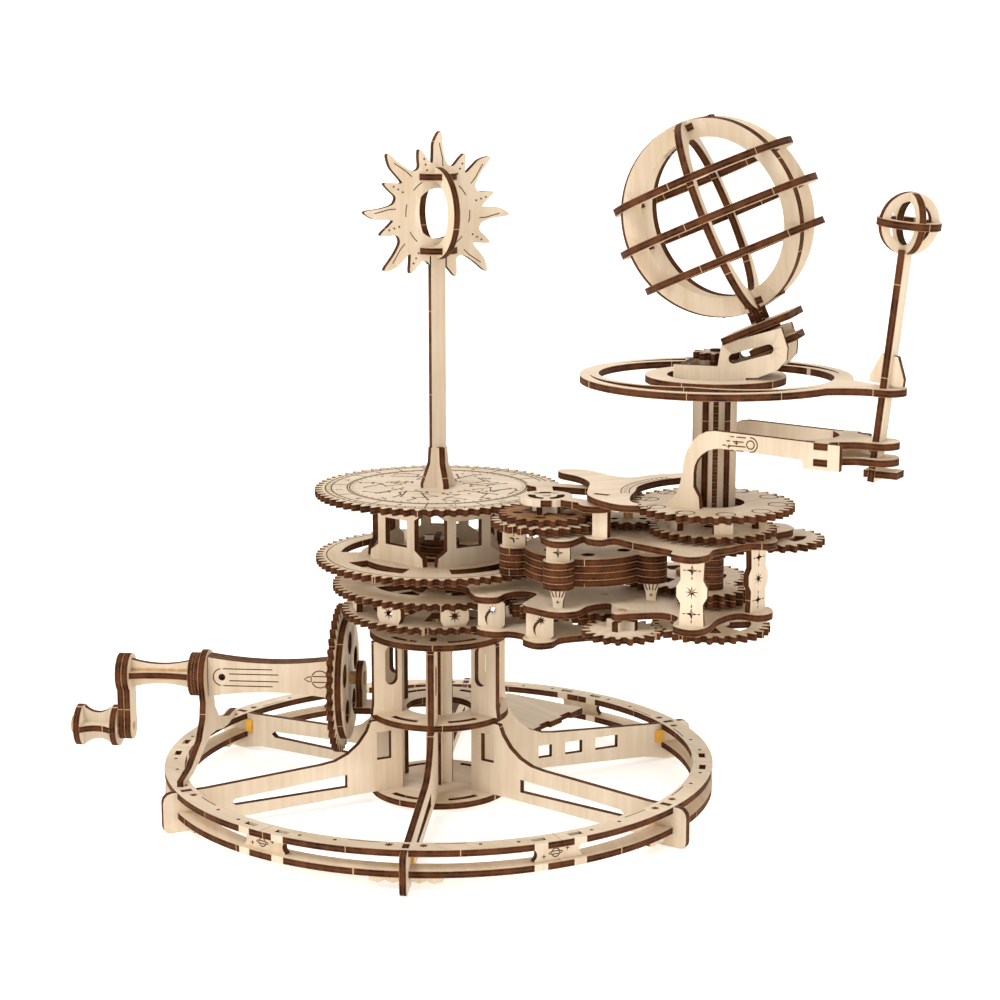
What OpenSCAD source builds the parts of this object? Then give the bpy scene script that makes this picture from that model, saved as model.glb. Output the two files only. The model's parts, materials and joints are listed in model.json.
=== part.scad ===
// Hand-cranked tellurion: a Sun, an orbiting arm with Earth and Moon, and a slatted base,
// built from flat plywood pieces. Z is up, the main axis is the Z axis, the base stands on z = 0.

/* [Plywood] */
// Thickness of the plywood sheet
ply = 3; // [2.8:0.05:3.2]
// Radial clearance of a running fit
run_fit = 0.06; // [0.03:0.01:0.09]
// Gap between faces that slide past each other
slide_gap = 0.4; // [0.3:0.05:0.6]

/* [Base] */
// Outer radius of the two base rings
ring_radius = 125; // [115:1:150]
// Width of the base rings
ring_width = 9; // [8:0.5:12]
// Height of the lower ring above the ground
ring_lift = 6; // [5:0.5:8]
// Clear height between the two rings
ring_gap = 6; // [5:0.5:9]
// Outer radius of the column discs
column_radius = 31.5; // [28:0.5:33]
// Height of the column, to the top of its top disc
column_height = 78.2; // [72:0.1:95]
// Height of the underside of the middle column disc
column_mid = 38.3; // [35:0.1:41]

/* [Gears] */
// Gear module of every toothed plate
gear_module = 1.63; // [1.5:0.01:1.7]
// Backlash at the pitch line
backlash = 0.5; // [0.4:0.05:0.7]
// Teeth of the fixed zodiac disc and of the fixed gear under it
fixed_teeth = 66; // [66]
// Teeth of the upper turntable gear
input_teeth = 57; // [57]
// Teeth of the lower turntable gear
drive_teeth = 52; // [52]
// Teeth of the upright crank gear
crank_teeth = 40; // [40]
// Radius of the plain stub pins that carry the gears
pin_r = 2; // [1.8:0.1:2.4]

/* [Arm] */
// Distance from the main axis to the Earth axis
arm_length = 135.3; // [134:0.1:138]
// Clear height between the two low arm plates
low_gap = 12; // [11:0.5:14]
// Clear height between the middle arm plates
mid_gap = 27; // [26:0.5:30]
// Direction of the arm at rest, from the X axis
arm_azimuth = -25.6; // [-30:0.1:-20]

/* [Crank] */
// Distance from the crank axis to the knob axis
crank_throw = 25.5; // [22:0.5:30]
// Distance from the main axis to the outer bearing plate
bracket_reach = 108; // [104:0.5:110]
// Length of the waisted outer shaft
outer_shaft = 28; // [22:0.5:36]
// Length of the knob spool
knob_length = 20; // [16:0.5:26]

/* [Bodies] */
// Radius of the Earth globe
earth_radius = 41; // [36:0.2:42]
// Height of the centres of Earth and Moon above the head plate of the Earth column
globe_rise = 71; // [66:1:76]
// Tilt of the Earth's axis
earth_tilt = 23.5; // [20:0.5:25]
// Radius of the Moon
moon_radius = 12.2; // [10:0.2:14]
// Distance of the Moon's post from the Earth axis, at its foot
moon_reach = 74; // [70:0.5:80]
// Outer radius of the Moon's guide ring
guide_radius = 56; // [52:0.5:58]
// Outer radius of the Sun's rings
sun_radius = 20; // [17:0.5:24]
// Height of the Sun's centre
sun_height = 265; // [250:1:280]

/* [Hidden] */
$fn = 64;
LEGS = 6;
press = 20;                      // pressure angle of the teeth
addendum = 0.85;                 // tooth height above the pitch circle, in modules
dedendum = 1.15;                 // tooth depth below the pitch circle, in modules
axle_half = 6;                   // half width of the two crossed plates of the main axle
axle_r = sqrt(pow(axle_half, 2) + pow(ply / 2, 2));

// Heights of the plates, each its underside
ring_low_z = ring_lift;
ring_high_z = ring_low_z + ply + ring_gap;
ring_top = ring_high_z + ply;
drive_z = column_height + 7.3;
input_z = drive_z + ply + 8.8;
plate_b_z = input_z + ply + 2.7;
plate_a_z = plate_b_z - low_gap - ply;
fixed_z = plate_b_z + ply + 4;
plate_d_z = plate_b_z + ply + mid_gap;
pinion_low_z = plate_d_z + ply + 1;
pinion_high_z = pinion_low_z + ply;
zodiac_z = pinion_high_z + slide_gap;
moon_gear_z = pinion_high_z + ply + 4;
plate_e_z = moon_gear_z;
plate_f_z = plate_e_z + ply + 1;
low_gear_z = plate_b_z - 8;
season_z = plate_b_z + ply + 1;
stack_z = fixed_z + ply + 1.2;
idler_z = plate_d_z - ply - 1;

// Teeth of the gears on the arm
pinion_high_teeth = 23;
pinion_low_teeth = 27;
moon_idler_teeth = 16;
moon_low_teeth = 31;
moon_high_teeth = 40;
feed_teeth = 18;
feed_idler_teeth = 16;
spin_idler_teeth = 19;
spin_teeth = 29;
season_teeth = 32;
tilt_teeth = 16;
back_teeth = 24;

// Centres of the gears, in the arm's own frame: X runs from the main axis to the Earth axis
earth = [arm_length, 0];
function pitch_r(n) = gear_module * n / 2;
function tip_r(n) = pitch_r(n) + addendum * gear_module;
function root_r(n) = pitch_r(n) - dedendum * gear_module;
function mesh_d(a, b) = pitch_r(a) + pitch_r(b) + 0.05;
function polar(r, a) = [r * cos(a), r * sin(a)];
function bearing(p, q) = atan2(q[1] - p[1], q[0] - p[0]);
// Point at distance dp from p and dq from q, to the left (side 1) or right (side -1) of the line p to q
function third(p, dp, q, dq, side) =
    let (d = norm(q - p), x = (dp * dp - dq * dq + d * d) / (2 * d), h = sqrt(dp * dp - x * x),
         u = (q - p) / d)
    p + x * u + side * h * [-u[1], u[0]];
pinion_bearing = -18.7;
feed_bearing = -8;
pinion_at = polar(mesh_d(fixed_teeth, pinion_high_teeth), pinion_bearing);
moon_idler_at = third(pinion_at, mesh_d(pinion_low_teeth, moon_idler_teeth),
                      earth, mesh_d(moon_idler_teeth, moon_low_teeth), 1);
feed_at = polar(mesh_d(input_teeth, feed_teeth), feed_bearing);
spin_idler_at = earth + polar(mesh_d(spin_teeth, spin_idler_teeth), -134.8);
feed_idler_at = third(feed_at, mesh_d(feed_teeth, feed_idler_teeth),
                      spin_idler_at, mesh_d(feed_idler_teeth, spin_idler_teeth), 1);
season_at = earth + polar(mesh_d(season_teeth, tilt_teeth), 132);
back_at = earth + polar(mesh_d(back_teeth, tilt_teeth), 60);

// Phase of gear b that meshes with gear a (teeth na, phase pa), where the line a to b points at th
function mesh_phase(na, pa, nb, th) = th + 180 - 360 / nb * (0.5 - (th - pa) * na / 360);
zodiac_phase = 0;
pinion_high_phase = mesh_phase(fixed_teeth, zodiac_phase - arm_azimuth, pinion_high_teeth, pinion_bearing);
pinion_low_phase = 3;
moon_idler_phase = mesh_phase(pinion_low_teeth, pinion_low_phase, moon_idler_teeth,
                              bearing(pinion_at, moon_idler_at));
moon_low_phase = mesh_phase(moon_idler_teeth, moon_idler_phase, moon_low_teeth,
                            bearing(moon_idler_at, earth));
drive_phase = 180 / drive_teeth;
input_phase = 0;
feed_phase = mesh_phase(input_teeth, input_phase - arm_azimuth, feed_teeth, feed_bearing);
feed_idler_phase = mesh_phase(feed_teeth, feed_phase, feed_idler_teeth, bearing(feed_at, feed_idler_at));
spin_idler_phase = mesh_phase(feed_idler_teeth, feed_idler_phase, spin_idler_teeth,
                              bearing(feed_idler_at, spin_idler_at));
spin_phase = mesh_phase(spin_idler_teeth, spin_idler_phase, spin_teeth, bearing(spin_idler_at, earth));
tilt_phase = 0;
season_phase = mesh_phase(tilt_teeth, tilt_phase, season_teeth, 132);
back_phase = mesh_phase(tilt_teeth, tilt_phase, back_teeth, 60);

// Concentric shafts on the Earth axis
spin_shaft_r = 2.5;
tube_bore = spin_shaft_r + run_fit;
tube_r = 5;
sleeve_bore = tube_r + run_fit;
fin_r = 9;
head_z = moon_gear_z + 50;
globe_height = head_z + globe_rise;
head_r = 23;
spin_top_z = head_z + 13;
lean_azimuth = 12.2;             // direction in the arm frame that the foot of the Earth's axis points to
globe_seat = 46;                 // distance along the tilted axis from globe centre to top plate

// Crank
crank_z = drive_z + 2 - tip_r(crank_teeth);
crank_gear_x = -(root_r(drive_teeth) + 3.4);
inner_plate_x = -37.4;
boss_r = 8;
crank_pin_r = 3;

// ---- plain shapes ----
function tooth_half(n, r) =
    let (rb = pitch_r(n) * cos(press), a = acos(min(1, rb / r)))
    90 / n - backlash / 4 / pitch_r(n) * 180 / PI + involute(press) - involute(a);
function involute(a) = tan(a) * 180 / PI - a;
function gear_points(n) = [for (i = [0:n - 1]) for (k = [0:5])
    let (r = [root_r(n), pitch_r(n), tip_r(n)][k < 3 ? k : 5 - k], s = k < 3 ? -1 : 1)
    polar(r, 360 * i / n + s * tooth_half(n, r))];
module gear_2d(n) polygon(gear_points(n));

// Closed smooth outline through the given points
function smooth(p, steps = 5) = [for (i = [0:len(p) - 1]) for (k = [0:steps - 1])
    let (n = len(p), t = k / steps, a = p[(i + n - 1) % n], b = p[i], c = p[(i + 1) % n],
         d = p[(i + 2) % n])
    0.5 * (2 * b + (c - a) * t + (2 * a - 5 * b + 4 * c - d) * t * t
        + (3 * b - a - 3 * c + d) * t * t * t)];
module slot_2d(length, width) {
    square([length - width, width], center = true);
    for (s = [-1, 1]) translate([s * (length - width) / 2, 0]) circle(width / 2);
}
module sector_2d(r, a0, a1) polygon(concat([[0, 0]], [for (k = [0:4]) polar(r, a0 + (a1 - a0) * k / 4)]));
// Curved slot between two radii and two angles
module arc_slot_2d(r0, r1, a0, a1) intersection() {
    difference() { circle(r1); circle(r0); }
    sector_2d(2 * r1, a0, a1);
}
module plate(z, t = ply) translate([0, 0, z]) linear_extrude(t) children();
module on_arm() rotate([0, 0, arm_azimuth]) children();
module at_2d(p) translate([p[0], p[1], 0]) children();
// Upright sheet in the plane of the local X and Z axes, centred on that plane
module upright(t = ply) rotate([90, 0, 0]) translate([0, 0, -t / 2]) linear_extrude(t) children();
module cross_2d(half) { square([2 * half, ply], center = true); square([ply, 2 * half], center = true); }
function leg_angle(i) = 30 + 60 * i;

// ---- base ----
module ring_segments(z) plate(z) difference() {
    circle(ring_radius, $fn = 128);
    circle(ring_radius - ring_width, $fn = 128);
    for (i = [0:LEGS - 1]) {
        rotate(60 * i) translate([ring_radius - ring_width / 2, 0])
            square([2 * ring_width, 0.2], center = true);
        rotate(leg_angle(i)) translate([ring_radius - ring_width / 2, 0])
            square([2 * tab_half, ply + 0.06], center = true);
        for (s = [-1, 1]) rotate(60 * i + 4 * s) translate([ring_radius - ring_width / 2, 0])
            square([ply, 6], center = true);
    }
}
module ring_lower() color("burlywood") ring_segments(ring_low_z);
module ring_upper() color("burlywood") ring_segments(ring_high_z);

module ring_connectors() color("wheat") for (i = [0:LEGS - 1]) rotate([0, 0, 60 * i])
    translate([ring_radius - ring_width / 2, 0, ring_low_z + ply]) rotate([0, 0, 90])
    upright() difference() {
        translate([-11, 0]) square([22, ring_gap]);
        for (s = [-1, 1]) translate([s * 12.4, ring_gap / 2]) circle(ring_gap / 2.2);
    }

ring_mid = ring_radius - ring_width / 2;
tab_half = 2.5;                  // half length of the ring slot that takes the leg
lug_out = 6.5;                   // reach of a leg's lug beyond the rings
foot_round = 3;
lug_round = 4;
WINDOWS = [[50, 7], [64, 9], [80, 12]];    // start and width of the windows in the last leg
function leg_outline() = concat(
    [[19, ply + 2.2], [column_radius + 1.5, ply + 2.2], [ring_mid - 14, 2.5],
     [ring_mid - 1, 0]],
    [for (a = [-90:30:0]) [ring_radius + lug_out - foot_round * (1 - cos(a)), foot_round * (1 + sin(a))]],
    [for (a = [0:30:90]) [ring_radius + lug_out - lug_round * (1 - cos(a)),
                          ring_top - lug_round * (1 - sin(a))]],
    [[ring_mid - 8.5, ring_top], [column_radius + 26.5, ring_top + 3]],
    [for (a = [270:-15:180]) [column_radius + 26.5 + 25.5 * cos(a), ring_top + 28.5 + 25.5 * sin(a)]],
    [[column_radius + 1, column_height], [19, column_height]]);
module leg(i) color("burlywood") rotate([0, 0, leg_angle(i)]) upright() difference() {
    polygon(leg_outline());
    for (z = [ring_low_z, ring_high_z]) {
        translate([ring_radius - ring_width - 0.02, z - 0.02])
            square([ring_width / 2 - tab_half + 0.04, ply + 0.04]);
        translate([ring_mid + tab_half - 0.02, z - 0.02])
            square([ring_width / 2 - tab_half + 0.04, ply + 0.04]);
    }
    for (z = [column_mid, column_height - ply]) translate([25, z - 0.02]) square([30, ply + 0.04]);
    if (i % 2 == 1) {
        translate([24, 63.5]) rotate(90) slot_2d(18, 6);
        translate([24.5, 20]) square([7, 13]);
    } else {
        translate([25, 60]) rotate(90) slot_2d(14, 5);
    }
    if (i == LEGS) for (w = WINDOWS) translate([w[0], ring_top - 8.5]) square([w[1], 6]);
    else polygon([[46, ring_top - 3], [46, ring_top - 9], [ring_mid - 22, 8.5], [ring_mid - 20, 10],
                  [ring_mid - 22, 11.5]]);
}

module leg_keys() color("sienna") for (i = [0:LEGS - 1]) rotate([0, 0, leg_angle(i)])
    for (s = [-1, 1]) translate([ring_radius - ring_width / 2, s * (ply / 2 + 7.02), ring_low_z - 3.4])
    rotate([0, 0, 90]) upright()
        polygon([[-7, 3.4], [7, 3.4], [6.5, 1], [3, 0], [0, 1.2], [-3, 0], [-6.5, 1]]);

module rubber_bands() color("gold") for (i = [0:LEGS - 1]) rotate([0, 0, leg_angle(i)])
    translate([ring_radius - ring_width - 1.5, 0, ring_low_z + ply]) linear_extrude(ring_gap)
    difference() {
        square([4, ply + 2.4], center = true);
        square([6, ply], center = true);
    }

// Column disc with slots for the legs; its children are added to the sheet
module column_disc(z, centre_hole) color("tan") plate(z) difference() {
    union() { circle(column_radius); children(); }
    if (centre_hole > 0) circle(centre_hole); else cross_2d(axle_half);
    for (i = [0:LEGS - 1]) {
        if (z > ring_lift) rotate(leg_angle(i)) translate([21.98, 0])
            square([6.08, ply + 0.06], center = true);
        rotate(60 * i) arc_slot_2d(25, 28, -15, 15);
    }
}
module column_disc_low() column_disc(2.2, 0);
module column_disc_mid() column_disc(column_mid, 15) translate([-column_radius - 7, -7]) square([14, 14]);
module column_disc_top() column_disc(column_height - ply, 0);

module main_axle() color("sienna") translate([0, 0, 2.2]) linear_extrude(fixed_z + ply + 8.2 - 2.2)
    cross_2d(axle_half);

// Round spacers stacked on the main axle
module axle_collars() color("tan") {
    collar(column_height, drive_z - slide_gap, 9);
    collar(input_z + ply + slide_gap, plate_b_z - slide_gap, 9.5);
    collar(plate_b_z + ply + slide_gap, fixed_z, 9.5);
    collar(fixed_z + ply, fixed_z + 3 * ply, 9.5);
}
module collar(z0, z1, r) plate(z0, z1 - z0) difference() { circle(r); cross_2d(axle_half); }

// Flat plate that lies on two back legs
module back_plate() color("wheat") plate(ring_top + 1.6) rotate(60) translate([64, 0]) difference() {
    square([46, 44], center = true);
    for (s = [-1, 1], q = [-1, 1]) translate([9 * q, 22 * s]) square([8, 3.6], center = true);
}

// ---- crank ----
module crank_bracket() color("burlywood") translate([-bracket_reach, 0, 0]) rotate([0, 0, 90])
    upright() difference() {
    polygon(concat(
        [for (a = [-25:15:205]) [11.5 * cos(a), crank_z + 11.5 * sin(a)]],
        [[-8.5, 42], [-10.5, 35], [-19, 27.5], [-40, ring_top + 3.5], [-56, ring_top + 2.5],
         [-56, ring_top], [-37.5, ring_top], [-26, ring_top + 1.5], [-12, ring_top + 5],
         [0, ring_top + 6.5], [12, ring_top + 5], [26, ring_top + 1.5], [37.5, ring_top],
         [56, ring_top], [56, ring_top + 2.5], [40, ring_top + 3.5], [19, 27.5], [10.5, 35],
         [8.5, 42]]));
    translate([0, crank_z]) circle(crank_pin_r + run_fit);
}
module crank_inner_bearing() color("tan") translate([inner_plate_x + ply / 2, 0, 0])
    rotate([0, 0, 90]) upright() difference() {
    union() {
        translate([0, crank_z]) circle(boss_r);
        translate([-6.5, column_mid + ply]) square([13, crank_z - column_mid - ply]);
    }
    translate([0, crank_z]) circle(crank_pin_r + run_fit);
}
// Disc or sheet across the crank axis, from x0 outwards along X
module across(x0, t = ply) translate([x0, 0, crank_z]) rotate([0, 90, 0]) linear_extrude(t) children();
module crank_gear() color("sienna") {
    across(crank_gear_x - ply) difference() {
        gear_2d(crank_teeth);
        circle(crank_pin_r);
    }
    across(crank_gear_x) difference() {
        circle(tip_r(crank_teeth) - 6);
        circle(crank_pin_r);
        for (i = [0:4]) rotate(72 * i + 36) translate([16.5, 0]) circle(5.5);
    }
}
// Waisted sheet along X: half height h0 at both ends, h1 in the middle
module waisted_2d(x0, x1, h0, h1) polygon(concat(
    [for (k = [0:10]) [x0 + (x1 - x0) * k / 10, -h1 - (h0 - h1) * pow(k / 5 - 1, 2)]],
    [for (k = [10:-1:0]) [x0 + (x1 - x0) * k / 10, h1 + (h0 - h1) * pow(k / 5 - 1, 2)]]));
module crossed_shaft(x0, x1, h0, h1) difference() {
    translate([0, 0, crank_z]) for (a = [0, 90]) rotate([a, 0, 0]) upright() waisted_2d(x0, x1, h0, h1);
    translate([x0 - 1, 0, crank_z]) rotate([0, 90, 0]) cylinder(r = crank_pin_r, h = x1 - x0 + 2);
}
disc_stack = 1.6 * ply;          // bearing discs outside the bracket
outer_x = -bracket_reach - ply / 2 - slide_gap - disc_stack;
arm_x = outer_x - outer_shaft - 2 * ply;
inner_x = -bracket_reach + ply / 2 + slide_gap;
stub = 4;                        // depth of the pins in the ends of the inner shaft
// Three waisted sheets face to face, with a small round window near the bracket
module crank_inner_shaft() color("burlywood") difference() {
    translate([0, 0, crank_z]) upright(3 * ply) difference() {
        waisted_2d(inner_x, crank_gear_x - ply, 9.3, 6.8);
        translate([inner_x + 6.4, 0]) circle(1.6);
    }
    for (x = [inner_x - 1, crank_gear_x - ply - stub])
        translate([x, 0, crank_z]) rotate([0, 90, 0]) cylinder(r = crank_pin_r, h = stub + 1);
}
module crank_outer_shaft() color("burlywood") {
    crossed_shaft(outer_x - outer_shaft, outer_x, 6.6, 4.6);
    across(outer_x, disc_stack) difference() { circle(10); circle(crank_pin_r); }
}
module crank_arm() color("sienna") across(arm_x, 2 * ply) difference() {
    union() {
        circle(9);
        translate([0, -5.6]) square([crank_throw, 11.2]);
        translate([crank_throw, 0]) circle(6.2);
    }
    circle(crank_pin_r);
    translate([crank_throw, 0]) circle(pin_r);
}
// Round rods of the crank: through the bracket, through the gear, and the one that the knob turns on
module crank_pin() color("sienna") {
    for (x = [[arm_x, inner_x + stub], [crank_gear_x - ply - stub, inner_plate_x + ply + 0.5]])
        translate([x[0], 0, crank_z]) rotate([0, 90, 0]) cylinder(r = crank_pin_r, h = x[1] - x[0]);
    translate([arm_x - knob_length - 2 * slide_gap, 0, crank_z - crank_throw]) rotate([0, 90, 0])
        cylinder(r = pin_r, h = knob_length + 2 * slide_gap + 2 * ply);
    translate([arm_x - knob_length - 2 * slide_gap - 2, 0, crank_z - crank_throw]) rotate([0, 90, 0])
        cylinder(r = 4, h = 2);
}
knob_x = arm_x - slide_gap - knob_length;
module knob() color("burlywood") translate([knob_x, 0, crank_z - crank_throw]) difference() {
    union() {
        for (x = [0, knob_length - ply]) translate([x, 0, 0]) rotate([0, 90, 0]) cylinder(r = 9.5, h = ply);
        for (a = [0, 90]) rotate([a, 0, 0]) upright() waisted_2d(ply, knob_length - ply, 9.5, 6.2);
    }
    translate([-1, 0, 0]) rotate([0, 90, 0]) cylinder(r = pin_r + run_fit, h = knob_length + 2);
}

// ---- turntable and fixed gears ----
module drive_gear() color("wheat") plate(drive_z) difference() {
    rotate(drive_phase) gear_2d(drive_teeth);
    circle(axle_r + run_fit);
    for (i = [0:4]) rotate(72 * i) arc_slot_2d(14, 30, -24, 24);
}
module input_gear() color("wheat") plate(input_z) difference() {
    rotate(input_phase) gear_2d(input_teeth);
    circle(axle_r + run_fit);
    for (i = [0:4]) rotate(72 * i + 20) arc_slot_2d(14, 31, -24, 24);
}
module turntable_plates() color("wheat") for (i = [0:7]) rotate([0, 0, 45 * i + 17])
    translate([37, 0, drive_z + ply]) rotate([0, 0, 90]) upright() difference() {
        let (h = input_z - drive_z - ply)
            polygon([[-5, 0], [5, 0], [6.3, h * 0.3], [6.3, h * 0.7], [5, h], [-5, h], [-6.3, h * 0.7],
                     [-6.3, h * 0.3]]);
        translate([0, 4.4]) star_2d(8, 3, 1.1);
    }
module star_2d(n, ro, ri) polygon([for (k = [0:2 * n - 1]) polar(k % 2 == 0 ? ro : ri, 180 * k / n)]);

module fixed_gear() color("wheat") plate(fixed_z) difference() {
    rotate(zodiac_phase) gear_2d(fixed_teeth);
    cross_2d(axle_half);
    for (i = [0:4]) rotate(72 * i + 18) arc_slot_2d(35, 44, -22, 22);
    for (i = [0:4]) rotate(72 * i + 54) arc_slot_2d(13, 20, -20, 20);
}
module zodiac_disc() color("wheat") plate(zodiac_z) difference() {
    rotate(zodiac_phase) gear_2d(fixed_teeth);
    rotate(sun_azimuth) square([7, ply], center = true);
}
pillar_r = 26;
module zodiac_pillars() color("burlywood") for (i = [0:4]) rotate([0, 0, 72 * i + 18])
    translate([pillar_r, 0, fixed_z + ply]) rotate([0, 0, 90]) upright() difference() {
        let (h = zodiac_z - fixed_z - ply)
            polygon([[-16, 0], [16, 0], [15.5, 4], [11, 7], [11, h - 7], [15.5, h - 4], [16, h],
                     [-16, h], [-15.5, h - 4], [-11, h - 7], [-11, 7], [-15.5, 4]]);
        translate([0, (zodiac_z - fixed_z - ply) / 2]) square([13, 12], center = true);
    }

// ---- Sun ----
sun_azimuth = 33;                // direction of the broad faces of the post and the flame sheet
sun_hole = 11;
flame_gap = 8.4;                 // width left free of flames over the post
post_w = 7;
post_top = sun_height - sun_radius + 4 - ply / 2;
// Straight part of the Sun's post, widened by a play when it cuts a slot
module post_bar(play = 0) rotate([0, 0, sun_azimuth])
    translate([-post_w / 2 - play, -ply / 2 - play, zodiac_z])
    cube([post_w + 2 * play, ply + 2 * play, post_top - zodiac_z]);
module sun_post() color("wheat") {
    post_bar();
    rotate([0, 0, sun_azimuth]) for (a = [0, 90]) rotate([0, 0, a]) difference() {
        upright() polygon([[-8, zodiac_z + ply], [8, zodiac_z + ply], [8, zodiac_z + ply + 2],
            [4.5, zodiac_z + 14], [4, zodiac_z + 21], [-4, zodiac_z + 21], [-4.5, zodiac_z + 14],
            [-8, zodiac_z + ply + 2]]);
        rotate([0, 0, -a - sun_azimuth]) post_bar();
    }
}
FLAMES = 8;
// One long and one short curling flame, as radius and angle; the radii are for a ring of radius 20
flame_steps = [[21.5, -15], [23, -10], [28, -5.5], [35.5, -2.5], [31, 3], [26.5, 4.5], [22, 6.5],
               [24, 11], [29, 17], [26, 20.5], [22, 24]];
function flame_points() = [for (i = [0:FLAMES - 1]) for (q = flame_steps)
    polar(q[0] * sun_radius / 20, 90 + 360 / FLAMES * i + q[1])];
module sun_flames() color("wheat") difference() {
    translate([0, 0, sun_height]) rotate([0, 0, sun_azimuth]) upright() difference() {
        polygon(smooth(flame_points(), 3));
        circle(sun_hole);
        translate([-flame_gap / 2, -2 * sun_radius]) square([flame_gap, sun_radius + 1.5]);
    }
    post_bar(0.02);
}
module sun_ring() color("burlywood") {
    difference() {
        translate([0, 0, sun_height]) rotate([0, 0, sun_azimuth + 90]) upright() difference() {
            circle(sun_radius);
            circle(sun_radius - 6);
        }
        translate([0, 0, sun_height]) rotate([0, 0, sun_azimuth]) cube([100, ply + 0.02, 100], center = true);
        post_bar(0.02);
    }
    translate([0, 0, sun_height]) rotate([0, 0, sun_azimuth])
    for (z = [-sun_radius + 4, sun_radius - 4]) translate([0, 0, z - ply / 2]) linear_extrude(ply)
        difference() {
            circle(9);
            square([40, ply + 0.02], center = true);
            square([ply + 0.02, 40], center = true);
        }
}

// ---- arm: sheets joined from round lobes and straight webs ----
module lobes_2d(p, r, w) {
    for (q = p) at_2d(q) circle(r);
    for (i = [0:len(p) - 2]) at_2d(p[i]) rotate(bearing(p[i], p[i + 1])) translate([0, -w / 2])
        square([norm(p[i + 1] - p[i]), w]);
}
oval_1 = [45.5, -29.5];
oval_2 = [72.5, -35];
post_1 = [143.4, -35.8];
post_2 = [155.6, -0.7];
swan_post = [97.4, -27.6];
stack_at = [79, -6];
lug_front = stack_at + polar(31, -84);
lug_left = stack_at + polar(31, -150);
lug_right = stack_at + polar(31, 1);
LUGS = [lug_front, lug_left, lug_right];

module arm_plate_a() color("burlywood") on_arm() plate(plate_a_z) difference() {
    polygon(smooth([[41, -22], [39, -30], [43, -36], [51, -36], [56, -32], [64, -33], [67, -40], [75, -43],
                    [80, -38], [80, -29], [90, -17], [96, -9], [92, 1], [83, 1], [74, -8], [68, 1],
                    [58, 1], [46, -4]]));
    circle(tip_r(drive_teeth) + 0.8);
    for (q = [feed_at, feed_idler_at]) at_2d(q) circle(pin_r);
}
module arm_plate_b() color("burlywood") on_arm() plate(plate_b_z) difference() {
    union() {
        circle(24);
        polygon(smooth([[8, -22], [28, -24], [38, -34], [44, -38], [51, -35], [51, -25], [56, -19],
                        [63, -21], [65, -30], [67, -40], [74, -43], [85, -45], [92, -39], [92, -28], [98, -20],
                        [107, -35], [114, -30], [124, -23], [133, -27], [137, -40], [146, -43],
                        [150, -36], [148, -20], [151, -8], [160, -7], [163, 0], [158, 8], [146, 9],
                        [134, 12], [120, 20], [117, 32], [109, 37], [101, 31], [97, 16], [78, 11],
                        [58, 14], [40, 18], [22, 20], [8, 22]]));
    }
    circle(axle_r + run_fit);
    for (i = [0:4]) rotate(72 * i + 36) arc_slot_2d(13, 19, -22, 22);
    at_2d(earth) circle(tube_bore);
    for (q = [feed_at, feed_idler_at, spin_idler_at, season_at]) at_2d(q) circle(pin_r);
}
module arm_plate_d() color("burlywood") on_arm() plate(plate_d_z) difference() {
    polygon(smooth([[46, -20], [48, -27], [56, -29], [64, -25], [70, -31], [76, -40], [84, -45], [90, -41],
                    [90, -30], [94, -33], [100, -33], [103, -27], [112, -30], [124, -33], [134, -36],
                    [137, -42], [146, -43], [150, -36], [148, -26], [152, -17], [155, -8], [163, -3],
                    [163, 4], [157, 14], [160, 27], [153, 36], [144, 32], [139, 17], [128, 14], [114, 2],
                    [106, 7], [96, 8], [88, 4], [76, -9], [66, -13], [54, -15]]));
    at_2d(earth) circle(sleeve_bore);
    for (q = [pinion_at, moon_idler_at, back_at]) at_2d(q) circle(pin_r);
}
module arm_plate_e() color("burlywood") on_arm() plate(plate_e_z) difference() {
    union() {
        lobes_2d([pinion_at, pinion_at + [-14, 22], moon_idler_at + [-9, 7], moon_idler_at,
                  swan_post + [-3, 0], pinion_at], 7, 7);
        at_2d(pinion_at) circle(11);
    }
    at_2d(earth) circle(tip_r(moon_high_teeth) + 0.8);
    at_2d(pinion_at) circle(pin_r);
    at_2d(pinion_at) for (a = [0, 120, 240]) rotate(a) arc_slot_2d(4.6, 8, -48, 48);
    at_2d(moon_idler_at) circle(pin_r);
    at_2d(swan_post) square([7.2, ply + 0.06], center = true);
}
module arm_plate_f() color("burlywood") on_arm() plate(plate_f_z) difference() {
    polygon(smooth([[55, 15], [66, 19], [80, 13], [90, 13], [97, 26], [108, 36], [118, 40], [121, 33],
                    [112, 27], [104, 14], [102, -2], [106, -14], [109, -24], [114, -34], [121, -40],
                    [113, -43], [101, -38], [92, -30], [86, -18], [80, -6], [70, 3], [58, 8]]));
    at_2d(earth) circle(25.5);
    at_2d(swan_post) square([7.2, ply + 0.06], center = true);
}
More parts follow.
